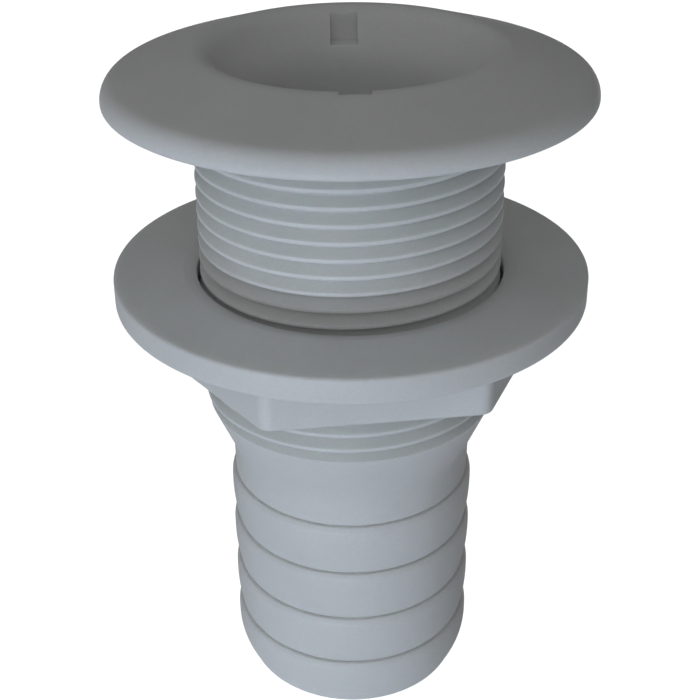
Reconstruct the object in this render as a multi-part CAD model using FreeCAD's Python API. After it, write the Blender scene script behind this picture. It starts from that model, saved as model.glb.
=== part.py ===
"""Thru hull fitting: a mushroom-head hull fitting with a hose tail, its backing washer and its hex nut.

Millimetres, +Z along the waterway towards the mushroom flange. The origin is on the waterway's axis, in the
flange's flat underside, which is the face that seats on the outside of the hull.
"""
import FreeCAD, Part
import math
import os

Vector = FreeCAD.Vector
AXIS = Vector(0, 0, 1)

# ---- hull thread: parallel pipe thread G 1-1/4, 55 degree flanks, right hand ----
THREAD_PITCH = 25.4 / 11
NOMINAL_MAJOR_RADIUS = 41.910 / 2
NOMINAL_DEPTH = 0.640327 * THREAD_PITCH
NOMINAL_PITCH_RADIUS = NOMINAL_MAJOR_RADIUS - NOMINAL_DEPTH / 2
FLANK_ANGLE = math.radians(55.0 / 2)
CREST_RADIUS = 20.88          # moulded crests stay a little under the nominal size
BARREL_PITCH_RADIUS = NOMINAL_PITCH_RADIUS - 0.23
BARREL_ROOT_ROUNDING = 0.08
NUT_PITCH_RADIUS = NOMINAL_PITCH_RADIUS + 0.12
NUT_ROOT_ROUNDING = 0.137329 * THREAD_PITCH
NUT_HOLE_RADIUS = 19.6
FLANK_OVERRUN = 0.1           # the thread cutters' flanks run this far past the surface they cut
CREST_AT_FRONT = -5.82        # height of one crest where the helix passes the front (-Y)
CREST_AT_X = CREST_AT_FRONT + THREAD_PITCH / 4      # right hand, so it climbs a quarter pitch from -Y to +X
THREAD_STOP = -0.1            # the groove's upper edge stays this far below the flange
THREAD_RUNOUT = -46.5         # the groove's last turn starts next above this, in the end cone
NO_TAPER = 0

# ---- mushroom flange ----
FLANGE_RADIUS = 32.4
LIP_CORNER = (18.86, 6.76)    # radius and height where the mouth's cone and the straight dome would meet
LIP_ROUNDING = 3.0
RIM_CORNER_HEIGHT = 2.5       # where the dome would meet the rim
RIM_ROUNDING = 2.8
UNDERSIDE_ROUNDING = 0.4

# ---- waterway and its two wrench slots ----
BORE_RADIUS = 14.6
MOUTH_FOOT = 0.25             # height where the mouth's cone would meet the bore
MOUTH_FOOT_ROUNDING = 0.8
SLOT_WIDTH = 3.9
SLOT_FRONT_REACH = 19.4       # from the axis to the slots' end walls
SLOT_BACK_REACH = 18.05
SLOT_FLOOR = 1.4
SLOT_TOP = 8.0                # anywhere above the flange
SLOT_CLOCK_ANGLE = 2.2        # degrees from the Y axis

# ---- barrel end and hose tail, for hose of 35 mm bore ----
CONE_TOP = -44.2
CONE_BOTTOM = -52.3
CONE_FOOT_ROUNDING = 6.0
NECK_RADIUS = 17.4
VALLEY_RADIUS = 17.3          # at the foot of each ledge
LEDGE_RADIUS = 17.6           # at its edge
BARB_RADIUS = 17.9
BARB_COUNT = 4
BARB_PITCH = 8.23
FIRST_LEDGE = -57.85
BARB_EDGE_ROUNDING = 0.12
BARB_LAND_START = 1.2         # both below the ledge
BARB_LAND_END = 2.4
TAIL_END_RADIUS = 16.15
TAIL_END = -91.2
TAIL_END_ROUNDING = 0.6

# ---- backing washer ----
WASHER_TOP = -24.73           # at rest
WASHER_THICKNESS = 3.65
WASHER_RADIUS = 32.8
WASHER_BORE_RADIUS = 21.35
WASHER_BEVEL_WIDTH = 1.85
WASHER_BEVEL_DEPTH = 0.35
WASHER_EDGE_ROUNDING = 0.4

# ---- hex nut ----
RUNNING_GAP = 0.06            # between washer and nut
NUT_HEIGHT = 7.5
NUT_ACROSS_FLATS = 50.5
NUT_CORNER_ROUNDING = 2.0
NUT_EDGE_ROUNDING = 0.4
NUT_MOUTH_CHAMFER = 1.4
NUT_CORNER_ANGLE = 7.7        # degrees from +X to the first corner


class Outline:
    """A closed half section in the XZ plane, drawn point by point as (radius, height)."""

    def __init__(self, radius, height):
        self.start = Vector(radius, 0, height)
        self.here = self.start
        self.edges = []

    def line(self, radius, height):
        there = Vector(radius, 0, height)
        self.edges.append(Part.makeLine(self.here, there))
        self.here = there
        return self

    def arc(self, centre_radius, centre_height, to_radius, to_height):
        """The shorter arc about a centre from the present point to the given one."""
        centre = Vector(centre_radius, 0, centre_height)
        there = Vector(to_radius, 0, to_height)
        size = (self.here - centre).Length
        middle = (self.here - centre) + (there - centre)
        middle = centre + middle.normalize() * size
        self.edges.append(Part.Arc(self.here, middle, there).toShape())
        self.here = there
        return self

    def swell(self, to_radius, to_height, upright_at_end):
        """An arc to the given point that is upright there, or upright where it starts."""
        drop = to_height - self.here.z
        narrowing = abs(to_radius - self.here.x)
        sweep_radius = (drop * drop + narrowing * narrowing) / (2 * narrowing)
        if upright_at_end:
            return self.arc(to_radius - sweep_radius, to_height, to_radius, to_height)
        return self.arc(self.here.x - sweep_radius, self.here.z, to_radius, to_height)

    def rounded(self, corner_radius, corner_height, rounding, to_radius, to_height):
        """A line towards a corner and another on from it, with a tangent rounding between them."""
        corner = Vector(corner_radius, 0, corner_height)
        back = (self.here - corner).normalize()
        onward = (Vector(to_radius, 0, to_height) - corner).normalize()
        half_angle = back.getAngle(onward) / 2
        start = corner + back * (rounding / math.tan(half_angle))
        end = corner + onward * (rounding / math.tan(half_angle))
        centre = corner + (back + onward).normalize() * (rounding / math.sin(half_angle))
        self.line(start.x, start.z)
        self.arc(centre.x, centre.z, end.x, end.z)
        return self.line(to_radius, to_height)

    def close(self):
        self.line(self.start.x, self.start.z)
        return Part.Wire(self.edges)

    def revolve(self):
        return Part.Face(self.close()).revolve(Vector(), AXIS, 360)


def helix_sweep(section_points, arc_ends, bottom, top):
    """Sweep a closed section along the thread's helix, from its turn at bottom up to its turn at top.

    section_points are (radius, height about the section's middle). The two points that arc_ends names are joined
    by the rounded tip through the point between them instead of by straight lines.
    """
    points = [Vector(radius, 0, bottom + height) for radius, height in section_points]
    first, tip, last = arc_ends
    edges = []
    for i in range(len(points)):
        j = (i + 1) % len(points)
        if i == first:
            edges.append(Part.Arc(points[first], points[tip], points[last]).toShape())
        elif i != tip:
            edges.append(Part.makeLine(points[i], points[j]))
    section = Part.Wire(edges)
    helix = Part.makeLongHelix(THREAD_PITCH, top - bottom, CREST_RADIUS, NO_TAPER)
    helix.translate(Vector(0, 0, bottom))
    return Part.Wire(helix.Edges).makePipeShell([section], True, True)


def thread_section(pitch_radius, rounding, surface_radius):
    """A V groove's section: flanks that run a little past the surface, and a rounded root.

    It serves both threads: on the barrel the root is inside the surface, in the nut it is outside.
    """
    outward = 1 if surface_radius > pitch_radius else -1
    slope = math.tan(FLANK_ANGLE)
    apex_radius = pitch_radius - outward * THREAD_PITCH / 4 / slope
    centre = apex_radius + outward * rounding / math.sin(FLANK_ANGLE)
    root_radius = centre - outward * rounding
    tangent_radius = centre - outward * rounding * math.sin(FLANK_ANGLE)
    tangent_half_width = rounding * math.cos(FLANK_ANGLE)
    mouth_radius = surface_radius + outward * FLANK_OVERRUN
    mouth_half_width = THREAD_PITCH / 4 + abs(mouth_radius - pitch_radius) * slope
    clear_radius = surface_radius + outward
    points = [
        (clear_radius, mouth_half_width),
        (mouth_radius, mouth_half_width),
        (tangent_radius, tangent_half_width),
        (root_radius, 0),
        (tangent_radius, -tangent_half_width),
        (mouth_radius, -mouth_half_width),
        (clear_radius, -mouth_half_width),
    ]
    return points, (2, 3, 4)


def helix_height_above(height, offset):
    """Where the thread crosses the +X side next above a height; offset 0 is a crest, half a pitch a groove."""
    base = CREST_AT_X + offset
    turns = math.ceil((height - base) / THREAD_PITCH)
    return base + turns * THREAD_PITCH


def hull_thread_cutter():
    """The helical groove of the barrel. It starts in the barrel's end cone, and stops under the flange."""
    section, rounded = thread_section(BARREL_PITCH_RADIUS, BARREL_ROOT_ROUNDING, CREST_RADIUS)
    bottom = helix_height_above(THREAD_RUNOUT, THREAD_PITCH / 2)
    top = THREAD_STOP - THREAD_PITCH / 2
    return helix_sweep(section, rounded, bottom, top)


def nut_thread_cutter(bottom, top):
    """The helical groove of the nut, a little larger than the barrel's thread and in step with it."""
    section, rounded = thread_section(NUT_PITCH_RADIUS, NUT_ROOT_ROUNDING, NUT_HOLE_RADIUS)
    start = helix_height_above(bottom - 1.5 * THREAD_PITCH, 0)
    end = top + THREAD_PITCH
    return helix_sweep(section, rounded, start, end)


def halfway(first, second):
    return (first[0] + second[0]) / 2, (first[1] + second[1]) / 2


def flange_outline():
    """Up the straight bore from the tail's end, then over the mouth, the lip, the dome and the rim to the barrel."""
    foot = (BORE_RADIUS, MOUTH_FOOT)
    rim = (FLANGE_RADIUS, RIM_CORNER_HEIGHT)
    outline = Outline(BORE_RADIUS, TAIL_END + TAIL_END_ROUNDING)
    outline.rounded(*foot, MOUTH_FOOT_ROUNDING, *halfway(foot, LIP_CORNER))
    outline.rounded(*LIP_CORNER, LIP_ROUNDING, *halfway(LIP_CORNER, rim))
    outline.rounded(*rim, RIM_ROUNDING, FLANGE_RADIUS, UNDERSIDE_ROUNDING)
    seat_radius = FLANGE_RADIUS - UNDERSIDE_ROUNDING
    outline.arc(seat_radius, UNDERSIDE_ROUNDING, seat_radius, 0)
    return outline.line(CREST_RADIUS, 0)


def hull_fitting():
    outline = flange_outline()
    outline.line(CREST_RADIUS, CONE_TOP)
    outline.rounded(NECK_RADIUS, CONE_BOTTOM, CONE_FOOT_ROUNDING, VALLEY_RADIUS, FIRST_LEDGE)
    for barb in range(BARB_COUNT):
        ledge = FIRST_LEDGE - barb * BARB_PITCH
        edge_radius = LEDGE_RADIUS - BARB_EDGE_ROUNDING
        edge_height = ledge - BARB_EDGE_ROUNDING
        outline.line(edge_radius, ledge)
        outline.arc(edge_radius, edge_height, LEDGE_RADIUS, edge_height)
        outline.swell(BARB_RADIUS, ledge - BARB_LAND_START, True)
        outline.line(BARB_RADIUS, ledge - BARB_LAND_END)
        if barb < BARB_COUNT - 1:
            outline.swell(VALLEY_RADIUS, ledge - BARB_PITCH, False)
    outline.swell(TAIL_END_RADIUS, TAIL_END + TAIL_END_ROUNDING, False)
    outline.line(TAIL_END_RADIUS - TAIL_END_ROUNDING, TAIL_END)
    outline.line(BORE_RADIUS + TAIL_END_ROUNDING, TAIL_END)
    body = outline.revolve()
    body = body.cut(hull_thread_cutter())
    return body.cut(wrench_slots())


def wrench_slots():
    """Two opposed slots in the bore's mouth, which a step wrench grips to hold the fitting still."""
    length = SLOT_FRONT_REACH + SLOT_BACK_REACH
    corner = Vector(-SLOT_WIDTH / 2, -SLOT_FRONT_REACH, SLOT_FLOOR)
    bar = Part.makeBox(SLOT_WIDTH, length, SLOT_TOP - SLOT_FLOOR, corner)
    bar.rotate(Vector(), AXIS, SLOT_CLOCK_ANGLE)
    return bar


def backing_washer():
    bottom = WASHER_TOP - WASHER_THICKNESS
    rounding = WASHER_EDGE_ROUNDING
    outer = WASHER_RADIUS - rounding
    outline = Outline(WASHER_BORE_RADIUS, WASHER_TOP - WASHER_BEVEL_DEPTH)
    outline.line(WASHER_BORE_RADIUS + WASHER_BEVEL_WIDTH, WASHER_TOP)
    outline.line(outer, WASHER_TOP)
    outline.arc(outer, WASHER_TOP - rounding, WASHER_RADIUS, WASHER_TOP - rounding)
    outline.line(WASHER_RADIUS, bottom + rounding)
    outline.arc(outer, bottom + rounding, outer, bottom)
    outline.line(WASHER_BORE_RADIUS, bottom)
    return outline.revolve()


def hexagon_prism(bottom, top):
    corner_radius = NUT_ACROSS_FLATS / 2 / math.cos(math.radians(30))
    corners = []
    for i in range(7):
        angle = math.radians(NUT_CORNER_ANGLE + 60 * i)
        corners.append(Vector(corner_radius * math.cos(angle), corner_radius * math.sin(angle), bottom))
    prism = Part.Face(Part.makePolygon(corners)).extrude(Vector(0, 0, top - bottom))
    half_height = (top - bottom) / 2
    upright = [edge for edge in prism.Edges if edge.BoundBox.ZLength > half_height]
    prism = prism.makeFillet(NUT_CORNER_ROUNDING, upright)
    level = [edge for edge in prism.Edges if edge.BoundBox.ZLength < half_height]
    return prism.makeFillet(NUT_EDGE_ROUNDING, level)


def hex_nut():
    top = WASHER_TOP - WASHER_THICKNESS - RUNNING_GAP
    bottom = top - NUT_HEIGHT
    mouth_radius = NUT_HOLE_RADIUS + NUT_MOUTH_CHAMFER
    nut = hexagon_prism(bottom, top)
    hole = Outline(0, bottom).line(mouth_radius, bottom)
    hole.line(NUT_HOLE_RADIUS, bottom + NUT_MOUTH_CHAMFER)
    hole.line(NUT_HOLE_RADIUS, top - NUT_MOUTH_CHAMFER)
    hole.line(mouth_radius, top).line(0, top)
    nut = nut.cut(hole.revolve())
    return nut.cut(nut_thread_cutter(bottom, top))


def write(node, shape):
    solids = shape.Solids
    if len(solids) != 1 or not shape.isValid():
        raise ValueError(node + " isn't one sound solid")
    solids[0].exportStep("parts/" + node + ".step")


os.makedirs("parts", exist_ok=True)
write("hull_fitting", hull_fitting())
write("backing_washer", backing_washer())
write("hex_nut", hex_nut())
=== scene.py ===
import math
import bmesh
import bpy
from mathutils import Matrix, Vector


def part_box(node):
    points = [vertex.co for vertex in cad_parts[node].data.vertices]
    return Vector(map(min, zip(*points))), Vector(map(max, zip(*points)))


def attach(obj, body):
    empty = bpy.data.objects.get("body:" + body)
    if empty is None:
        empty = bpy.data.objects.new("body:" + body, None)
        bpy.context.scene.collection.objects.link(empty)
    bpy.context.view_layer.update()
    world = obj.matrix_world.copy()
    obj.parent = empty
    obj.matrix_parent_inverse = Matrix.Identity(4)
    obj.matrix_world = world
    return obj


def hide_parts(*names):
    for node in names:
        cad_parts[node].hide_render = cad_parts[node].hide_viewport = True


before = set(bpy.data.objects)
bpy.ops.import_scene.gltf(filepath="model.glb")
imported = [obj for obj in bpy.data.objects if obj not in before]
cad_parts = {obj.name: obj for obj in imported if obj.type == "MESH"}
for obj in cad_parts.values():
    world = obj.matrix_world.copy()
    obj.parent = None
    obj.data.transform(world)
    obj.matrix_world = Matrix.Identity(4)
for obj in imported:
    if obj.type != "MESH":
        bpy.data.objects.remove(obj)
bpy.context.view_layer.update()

MM = 0.001
scene = bpy.context.scene

# Radii and heights are in mm, and those of corners are before rounding. Height 0 is the flange's underside,
# and the front is -Y.
COLUMNS = 240                        # around the axis
SPAN, BORE_SPAN = 1.5, 3             # longest stretch of an outline, and of the bore
CREASE_ANGLE = 28                    # faces that meet at more degrees than this show an edge

# flange and mouth
FLANGE_RADIUS = 32.4
UNDERSIDE_ROUNDING = 0.4
RIM_HEIGHT, RIM_ROUNDING = 2.5, 2.8
LIP_RADIUS, LIP_HEIGHT, LIP_ROUNDING = 18.86, 6.76, 3.0
MOUTH_FOOT, MOUTH_FOOT_ROUNDING = 0.25, 10
BORE_RADIUS = 14.6
BORE_START = -6                      # on the straight bore, where the outline starts and ends
SLOT_FRONT, SLOT_BACK = -20.6, 18.05
SLOT_FLOOR, SLOT_TOP = 1.4, 9.0
SLOT_WIDTH = 3.9
SLOT_TURN = math.radians(2.2)

# barrel
PITCH = 25.4 / 11
FLANK = math.radians(27.5)
CREST_RADIUS = 20.88
APEX_RADIUS = 20.19 - PITCH / 4 / math.tan(FLANK)       # where the two flanks would meet
CREST_FLAT = PITCH / 2 - (CREST_RADIUS - APEX_RADIUS) * math.tan(FLANK)
SHOULDER_ROUNDING, ROOT_ROUNDING = 0.1, 0.08
THREAD_SPAN = 0.28                   # longest stretch of the thread's outline
FRONT_CREST = -5.82                  # the height of one of the crests at the front
TOP_CREST = FRONT_CREST + PITCH / 4 + 3 * PITCH         # on the +X side, inside the flange
TURNS = 23
LAST_GROOVE = 20
GROOVE_START = math.radians(30)      # the last groove deepens over this much of a turn
FADE_START, FADE = 0.05, 1.2         # the first one fades in from here below the flange, over this height
THREAD_END = -47.6

# cone and neck
CONE_TOP, CONE_FOOT = -44.2, -52.3
CONE_FOOT_ROUNDING = 6
NECK_RADIUS, NECK_END_RADIUS = 17.4, 17.3
CONE_SLOPE = (CREST_RADIUS - NECK_RADIUS) / (CONE_TOP - CONE_FOOT)

# barbs, with drops measured from each one's ledge
BARB_PITCH = 8.23
LEDGES = [-57.85 - BARB_PITCH * barb for barb in range(4)]
LEDGE_RADIUS, LEDGE_ROUNDING = 17.6, 0.12
LAND_RADIUS = 17.9
LAND_START, LAND_END, LAND_SPAN = 1.2, 2.4, 0.7
FOOT_RADIUS = 17.27
UNDERCUT, UNDERCUT_RADIUS = 0.4, 17.02      # each barb's foot draws in over this height above the next ledge
TAIL_END = -91.2
TAIL_SHOULDER, TAIL_SHOULDER_RADIUS = TAIL_END + 0.9, 16.4
TAIL_END_RADIUS, TAIL_END_ROUNDING = 16.15, 0.6
BORE_END_ROUNDING = 0.5

# washer
WASHER_TOP, WASHER_BOTTOM = -24.73, -28.38
WASHER_RADIUS, WASHER_EDGE_ROUNDING = 32.8, 0.4
WASHER_BORE, WASHER_BORE_ROUNDING = 21.35, 0.25
BEVEL_RADIUS, BEVEL_HEIGHT = 23.2, 0.35
BEVEL_ROUNDING, BEVEL_FOOT_ROUNDING = 0.5, 0.1
WASHER_SEAM = 27                     # on its upper face, where the outline starts and ends


# ---- materials ----
def plastic(name, seed):
    """White moulded plastic: it lets a little light through, and its skin is faintly uneven."""
    material = bpy.data.materials.new(name)
    material.use_nodes = True
    nodes, links = material.node_tree.nodes, material.node_tree.links
    shader = nodes["Principled BSDF"]

    place = nodes.new("ShaderNodeTexCoord")
    shift = nodes.new("ShaderNodeMapping")
    shift.inputs["Location"].default_value = (seed, 0.37 * seed, 0.71 * seed)
    links.new(place.outputs["Object"], shift.inputs["Vector"])

    def noise(size_mm, detail):
        node = nodes.new("ShaderNodeTexNoise")
        node.inputs["Scale"].default_value = 1 / (size_mm * MM)
        node.inputs["Detail"].default_value = detail
        links.new(shift.outputs["Vector"], node.inputs["Vector"])
        return node.outputs["Fac"]

    def mix(factor, first, second):
        node = nodes.new("ShaderNodeMix")
        node.data_type = "RGBA"
        links.new(factor, node.inputs["Factor"])
        first_colour, second_colour = node.inputs[6:8]      # the node's sockets share names, so by number
        for socket, colour in ((first_colour, first), (second_colour, second)):
            if isinstance(colour, tuple):
                socket.default_value = (*colour, 1)
            else:
                links.new(colour, socket)
        return node.outputs[2]

    def bump(height, strength, distance_mm):
        node = nodes.new("ShaderNodeBump")
        node.inputs["Strength"].default_value = strength
        node.inputs["Distance"].default_value = distance_mm * MM
        links.new(height, node.inputs["Height"])
        return node

    clouds = remap(nodes, links, noise(14, 3), (0.35, 0.65), (0, 1))
    base = mix(clouds, (0.80, 0.81, 0.79), (0.84, 0.845, 0.825))
    dust = remap(nodes, links, noise(1.1, 5), (0.62, 0.78), (0, 0.22))
    base = mix(dust, base, (0.68, 0.67, 0.64))
    speckle = remap(nodes, links, noise(0.3, 2), (0.3, 0.7), (0, 0.5))
    base = mix(speckle, base, (0.74, 0.755, 0.74))
    links.new(base, shader.inputs["Base Color"])

    gloss = remap(nodes, links, noise(3.5, 4), (0.3, 0.7), (0.42, 0.56))
    links.new(gloss, shader.inputs["Roughness"])
    shader.inputs["Specular IOR Level"].default_value = 0.42
    shader.inputs["Subsurface Weight"].default_value = 0.9
    shader.inputs["Subsurface Radius"].default_value = (1.0, 1.15, 1.0)
    shader.inputs["Subsurface Scale"].default_value = 1.3 * MM

    grain = bump(noise(0.28, 3), 0.45, 0.012)
    ripple = bump(noise(6, 2), 0.3, 0.06)
    links.new(grain.outputs["Normal"], ripple.inputs["Normal"])
    links.new(ripple.outputs["Normal"], shader.inputs["Normal"])
    return material


def remap(nodes, links, value, taken, given):
    """A value carried from one (low, high) range to another, and held within it."""
    node = nodes.new("ShaderNodeMapRange")
    for socket, number in zip(node.inputs[1:5], (*taken, *given)):
        socket.default_value = number
    links.new(value, node.inputs["Value"])
    return node.outputs["Result"]


# ---- outlines, as (radius, height) points ----
def rounded(corners):
    """The open path through corners (radius, height, rounding). Its two ends are points on it as they stand."""
    points = [corners[0][:2]]
    for before, here, after in zip(corners, corners[1:], corners[2:]):
        corner, rounding = Vector(here[:2]), here[2]
        back = (Vector(before[:2]) - corner).normalized()
        ahead = (Vector(after[:2]) - corner).normalized()
        half = back.angle(ahead) / 2
        centre = corner + (back + ahead).normalized() * (rounding / math.sin(half))
        spoke = corner + back * (rounding / math.tan(half)) - centre
        last = corner + ahead * (rounding / math.tan(half)) - centre
        turn = math.copysign(math.pi - 2 * half, spoke.cross(last))
        steps = 3 + int(2 * abs(turn) * rounding)
        for step in range(steps + 1):
            angle = turn * step / steps
            x = spoke.x * math.cos(angle) - spoke.y * math.sin(angle)
            y = spoke.x * math.sin(angle) + spoke.y * math.cos(angle)
            points.append((centre.x + x, centre.y + y))
    points.append(corners[-1][:2])
    return points


def divided(points, longest):
    """The same path with its long stretches cut into equal parts."""
    result = [points[0]]
    for (r0, z0), (r1, z1) in zip(points, points[1:]):
        parts = max(1, math.ceil(math.hypot(r1 - r0, z1 - z0) / longest))
        for part in range(1, parts + 1):
            result.append((r0 + (r1 - r0) * part / parts, z0 + (z1 - z0) * part / parts))
    return result


def swell(start, end, upright_at_end, steps):
    """Points of a long flat arc after start, up to end. It is upright at one of the two."""
    (r0, z0), (r1, z1) = start, end
    drop, rise = abs(z1 - z0), abs(r1 - r0)
    sweep = (drop * drop + rise * rise) / (2 * rise)
    widest, middle = (r1, z1) if upright_at_end else (r0, z0)
    points = []
    for step in range(1, steps + 1):
        z = z0 + (z1 - z0) * step / steps
        points.append((widest - sweep + math.sqrt(sweep * sweep - (z - middle) ** 2), z))
    return points


# ---- meshes ----
def closed_mesh(name, columns, row_after_lap=None):
    """A ring-shaped skin from columns of points around the Z axis, each column a closed section.

    A helix climbs one turn per lap: row_after_lap(row) is where a row of the last column joins the first.
    """
    rows = len(columns[0])
    points = [Vector(point) * MM for column in columns for point in column]
    faces = []
    for column in range(len(columns)):
        after = (column + 1) % len(columns)
        for row in range(rows):
            below = (row + 1) % rows
            left, left_below = column * rows + row, column * rows + below
            right, right_below = after * rows + row, after * rows + below
            if row_after_lap and after == 0:
                right, right_below = row_after_lap(row), row_after_lap(below)
            faces.append([left, left_below, right_below, right])
    faces = [list(dict.fromkeys(face)) for face in faces]
    mesh = bpy.data.meshes.new(name)
    mesh.from_pydata(points, [], [face for face in faces if len(face) > 2])
    shape = bmesh.new()
    shape.from_mesh(mesh)
    bmesh.ops.remove_doubles(shape, verts=shape.verts, dist=0.002 * MM)
    bmesh.ops.dissolve_degenerate(shape, edges=shape.edges, dist=0.001 * MM)
    bmesh.ops.recalc_face_normals(shape, faces=shape.faces)
    shape.to_mesh(mesh)
    shape.free()
    piece = bpy.data.objects.new(name, mesh)
    scene.collection.objects.link(piece)
    return piece


def spin(section, angle):
    return [(r * math.cos(angle), r * math.sin(angle), z) for r, z in section]


# ---- hull fitting ----
def flange_outline():
    """From inside the bore up over the mouth's lip, out to the rim, and back in along the underside."""
    path = rounded([
        (BORE_RADIUS, BORE_START),
        (BORE_RADIUS, MOUTH_FOOT, MOUTH_FOOT_ROUNDING),
        (LIP_RADIUS, LIP_HEIGHT, LIP_ROUNDING),
        (FLANGE_RADIUS, RIM_HEIGHT, RIM_ROUNDING),
        (FLANGE_RADIUS, 0, UNDERSIDE_ROUNDING),
        (CREST_RADIUS, 0),
    ])
    return divided(path, SPAN)[:-1]


def thread_turn():
    """One turn of the thread from a crest's middle to just before the next, as (radius, drop)."""
    path = rounded([
        (CREST_RADIUS, 0),
        (CREST_RADIUS, -CREST_FLAT, SHOULDER_ROUNDING),
        (APEX_RADIUS, -PITCH / 2, ROOT_ROUNDING),
        (CREST_RADIUS, -PITCH + CREST_FLAT, SHOULDER_ROUNDING),
        (CREST_RADIUS, -PITCH),
    ])
    return divided(path, THREAD_SPAN)[:-1]


def cone(height):
    return CREST_RADIUS + CONE_SLOPE * (height - CONE_TOP)


def thread_rows(turn_rows, angle):
    """The barrel's side at one angle, from the flange's underside down into the cone."""
    crest = TOP_CREST + PITCH * angle / (2 * math.pi)
    rows = []
    for turn in range(TURNS):
        strength = 1 if turn < LAST_GROOVE else 0
        if turn == LAST_GROOVE:
            strength = min(1, angle / GROOVE_START)
        for radius, drop in turn_rows:
            height = crest - turn * PITCH + drop
            fade = min(1, max(0, (-height - FADE_START) / FADE))
            rows.append((CREST_RADIUS - (CREST_RADIUS - radius) * strength * fade, height))

    # Where the thread runs into the cone, the nearest row moves onto the edge between them.
    moved = list(rows)
    over = [radius - cone(height) for radius, height in rows]
    for row in range(len(rows) - 1):
        if over[row] * over[row + 1] < 0:
            share = over[row] / (over[row] - over[row + 1])
            height = rows[row][1] + share * (rows[row + 1][1] - rows[row][1])
            moved[row + round(share)] = (cone(height), height)

    result = []
    for radius, height in moved:
        height = min(0, max(THREAD_END, height))
        result.append((min(radius, cone(height)), height))
    return result


def neck_outline():
    path = rounded([
        (cone(THREAD_END), THREAD_END),
        (NECK_RADIUS, CONE_FOOT, CONE_FOOT_ROUNDING),
        (NECK_END_RADIUS, LEDGES[0] + UNDERCUT),
    ])
    return divided(path[1:], SPAN)


def barb_outline(ledge, foot, steps):
    """One barb, down from its ledge: a round edge, a swell up to the land, and a long taper to its foot."""
    edge_end = (LEDGE_RADIUS, ledge - LEDGE_ROUNDING)
    land = [(LAND_RADIUS, ledge - LAND_START), (LAND_RADIUS, ledge - LAND_END)]
    path = [(UNDERCUT_RADIUS, ledge)]
    path += rounded([(UNDERCUT_RADIUS, ledge), (LEDGE_RADIUS, ledge, LEDGE_ROUNDING), edge_end])[1:-1]
    path += swell(edge_end, land[0], True, 4)
    path += divided(land, LAND_SPAN)[1:]
    path += swell(land[1], foot, False, steps)
    return path


def tail_outline():
    """From the neck over the barbs, around the tail's end, and up inside the bore."""
    path = neck_outline()
    for ledge in LEDGES[:-1]:
        path += barb_outline(ledge, (FOOT_RADIUS, ledge - BARB_PITCH + UNDERCUT), 7)
    shoulder = (TAIL_SHOULDER_RADIUS, TAIL_SHOULDER)
    path += barb_outline(LEDGES[-1], shoulder, 9)
    end = rounded([
        shoulder,
        (TAIL_END_RADIUS, TAIL_END, TAIL_END_ROUNDING),
        (BORE_RADIUS, TAIL_END, BORE_END_ROUNDING),
        (BORE_RADIUS, BORE_START),
    ])
    return path + divided(end, BORE_SPAN)[1:-1]


def fitting():
    flange, turn_rows, tail = flange_outline(), thread_turn(), tail_outline()
    columns = []
    for column in range(COLUMNS):
        angle = 2 * math.pi * column / COLUMNS
        columns.append(spin(flange + thread_rows(turn_rows, angle) + tail, angle))
    first = len(flange)
    last = first + TURNS * len(turn_rows)

    def one_turn_up(row):
        if first <= row < last:
            return max(first, row - len(turn_rows))
        return row

    piece = closed_mesh("fitting_body", columns, one_turn_up)
    cut_slots(piece)
    return piece


def cut_slots(piece):
    """The two wrench slots, cut by one bar that lies across the bore's mouth."""
    half = SLOT_WIDTH / 2
    turn = Matrix.Rotation(SLOT_TURN, 3, "Z")
    outline = [(-half, SLOT_FRONT), (half, SLOT_FRONT), (half, SLOT_BACK), (-half, SLOT_BACK)]
    points = [turn @ Vector((x, y, z)) * MM for z in (SLOT_FLOOR, SLOT_TOP) for x, y in outline]
    faces = [(3, 2, 1, 0), (4, 5, 6, 7), (0, 1, 5, 4), (1, 2, 6, 5), (2, 3, 7, 6), (3, 0, 4, 7)]
    mesh = bpy.data.meshes.new("slot_bar")
    mesh.from_pydata(points, [], faces)
    bar = bpy.data.objects.new("slot_bar", mesh)
    scene.collection.objects.link(bar)
    cut = piece.modifiers.new("slots", "BOOLEAN")
    cut.object = bar
    cut.operation = "DIFFERENCE"
    cut.solver = "EXACT"
    ready = piece.evaluated_get(bpy.context.evaluated_depsgraph_get())
    piece.data = bpy.data.meshes.new_from_object(ready)
    piece.modifiers.clear()
    bpy.data.objects.remove(bar)


# ---- washer ----
def washer():
    section = rounded([
        (WASHER_SEAM, WASHER_TOP),
        (WASHER_RADIUS, WASHER_TOP, WASHER_EDGE_ROUNDING),
        (WASHER_RADIUS, WASHER_BOTTOM, WASHER_EDGE_ROUNDING),
        (WASHER_BORE, WASHER_BOTTOM, WASHER_BORE_ROUNDING),
        (WASHER_BORE, WASHER_TOP - BEVEL_HEIGHT, BEVEL_FOOT_ROUNDING),
        (BEVEL_RADIUS, WASHER_TOP, BEVEL_ROUNDING),
        (WASHER_SEAM, WASHER_TOP),
    ])
    section = divided(section, SPAN)[:-1]
    columns = [spin(section, 2 * math.pi * column / COLUMNS) for column in range(COLUMNS)]
    return closed_mesh("washer_body", columns)


# ---- pieces on their bodies ----
def dress(piece, slot, seed):
    """Gives a piece its own plastic, whose unevenness starts at its own place."""
    piece.data.materials.clear()
    piece.data.materials.append(plastic(slot, seed))


for node, slot, build, body, seed in (
    ("hull_fitting", "fitting_plastic", fitting, "fitting", 0),
    ("backing_washer", "washer_plastic", washer, "washer", 0.013),
):
    piece = build()
    piece.data.shade_smooth()
    piece.data.set_sharp_from_angle(angle=math.radians(CREASE_ANGLE))
    dress(piece, slot, seed)
    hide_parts(node)
    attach(piece, body)
dress(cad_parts["hex_nut"], "nut_plastic", 0.041)


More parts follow.
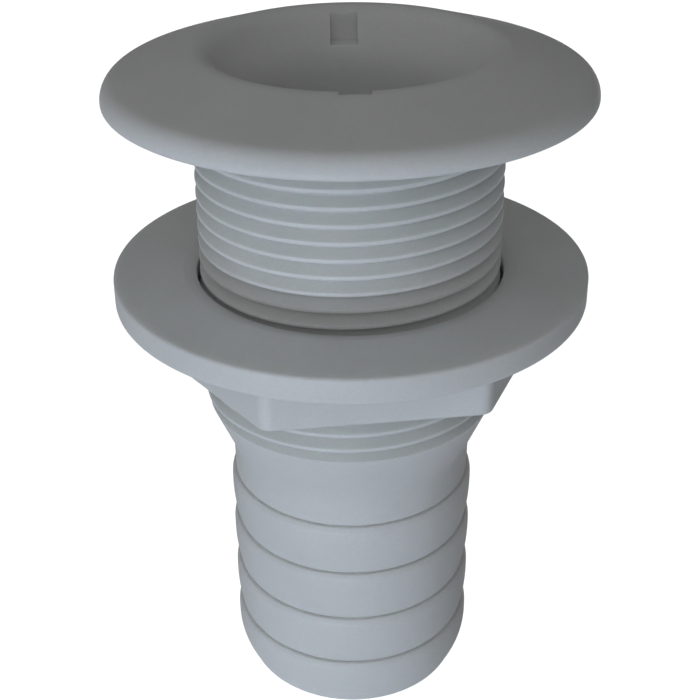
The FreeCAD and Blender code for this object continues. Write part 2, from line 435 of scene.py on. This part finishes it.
# ---- floor ----
def floor():
    """A pale floor that shows as white to the camera and less so in reflections.

    It casts no shadow, so the low lights pass it, and it is clear from below.
    """
    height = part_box("hull_fitting")[0].z
    bpy.ops.mesh.primitive_plane_add(size=6, location=(0, 0, height))
    plane = bpy.context.object
    plane.name = "floor"
    plane.visible_shadow = False
    material = bpy.data.materials.new("floor")
    material.use_nodes = True
    nodes, links = material.node_tree.nodes, material.node_tree.links
    shader = nodes["Principled BSDF"]
    shader.inputs["Base Color"].default_value = (0.55, 0.55, 0.55, 1)
    shader.inputs["Roughness"].default_value = 0.9
    shader.inputs["Emission Color"].default_value = (1, 1, 1, 1)
    path = nodes.new("ShaderNodeLightPath")
    glow = nodes.new("ShaderNodeMath")
    glow.operation = "MULTIPLY_ADD"
    glow.inputs[1].default_value = 0.3
    links.new(path.outputs["Is Glossy Ray"], glow.inputs[0])
    links.new(path.outputs["Is Camera Ray"], glow.inputs[2])
    links.new(glow.outputs["Value"], shader.inputs["Emission Strength"])
    side = nodes.new("ShaderNodeNewGeometry")
    clear = nodes.new("ShaderNodeBsdfTransparent")
    either = nodes.new("ShaderNodeMixShader")
    links.new(side.outputs["Backfacing"], either.inputs["Fac"])
    links.new(shader.outputs["BSDF"], either.inputs[1])
    links.new(clear.outputs["BSDF"], either.inputs[2])
    links.new(either.outputs["Shader"], nodes["Material Output"].inputs["Surface"])
    plane.data.materials.append(material)


# ---- lights, with places and sizes in metres ----
def softbox(name, location, width, height, power, colour):
    """A soft rectangular light that faces the middle of the barrel."""
    data = bpy.data.lights.new(name, "AREA")
    data.shape = "RECTANGLE"
    data.size, data.size_y = width, height
    data.energy = power
    data.color = colour
    light = bpy.data.objects.new(name, data)
    scene.collection.objects.link(light)
    barrel = Vector((0, 0, -0.03))
    light.location = location
    light.rotation_euler = (barrel - Vector(location)).to_track_quat("-Z", "Y").to_euler()
    light.visible_camera = False


def room_light(towards, mean, swing, colour):
    """Even light from all round that is stronger by a share from one side and weaker from the other."""
    world = bpy.data.worlds.new("studio")
    world.use_nodes = True
    nodes, links = world.node_tree.nodes, world.node_tree.links
    place = nodes.new("ShaderNodeTexCoord")
    side = nodes.new("ShaderNodeVectorMath")
    side.operation = "DOT_PRODUCT"
    side.inputs[1].default_value = towards
    links.new(place.outputs["Generated"], side.inputs[0])
    strength = remap(nodes, links, side.outputs["Value"], (-1, 1), (mean * (1 - swing), mean * (1 + swing)))
    links.new(strength, nodes["Background"].inputs["Strength"])
    nodes["Background"].inputs["Color"].default_value = (*colour, 1)
    scene.world = world


# ---- camera ----
def camera():
    """From in front and above, close to the fitting, tilted down by about 27 degrees."""
    yaw, tilt, roll = 0.0287, math.pi / 2 - 0.4767, -0.0192
    data = bpy.data.cameras.new("camera")
    data.lens = 68.08
    data.sensor_width = 36
    data.shift_x = 0.0481
    data.shift_y = -0.0678
    data.clip_start = 0.01
    shot = bpy.data.objects.new("camera", data)
    scene.collection.objects.link(shot)
    place = Matrix.Translation((0, -167.09 * MM, 54.89 * MM))
    turns = Matrix.Rotation(yaw, 4, "Z") @ Matrix.Rotation(tilt, 4, "X") @ Matrix.Rotation(roll, 4, "Z")
    shot.matrix_world = place @ turns
    scene.camera = shot


floor()
softbox("key", (-0.165, -0.465, -0.182), 0.48, 0.1, 1.16, (0.745, 0.85, 1.02))
softbox("fill", (-0.1, -0.6, 0.4), 0.5, 0.3, 0.29, (0.97, 0.965, 1.03))
softbox("back", (0.08, 0.5, -0.17), 0.4, 0.2, 0.56, (1.0, 0.99, 0.97))
room_light((-0.62, -0.78, 0.0), 0.168, 0.55, (0.985, 0.985, 1.0))
scene.view_settings.view_transform = "Standard"
camera()
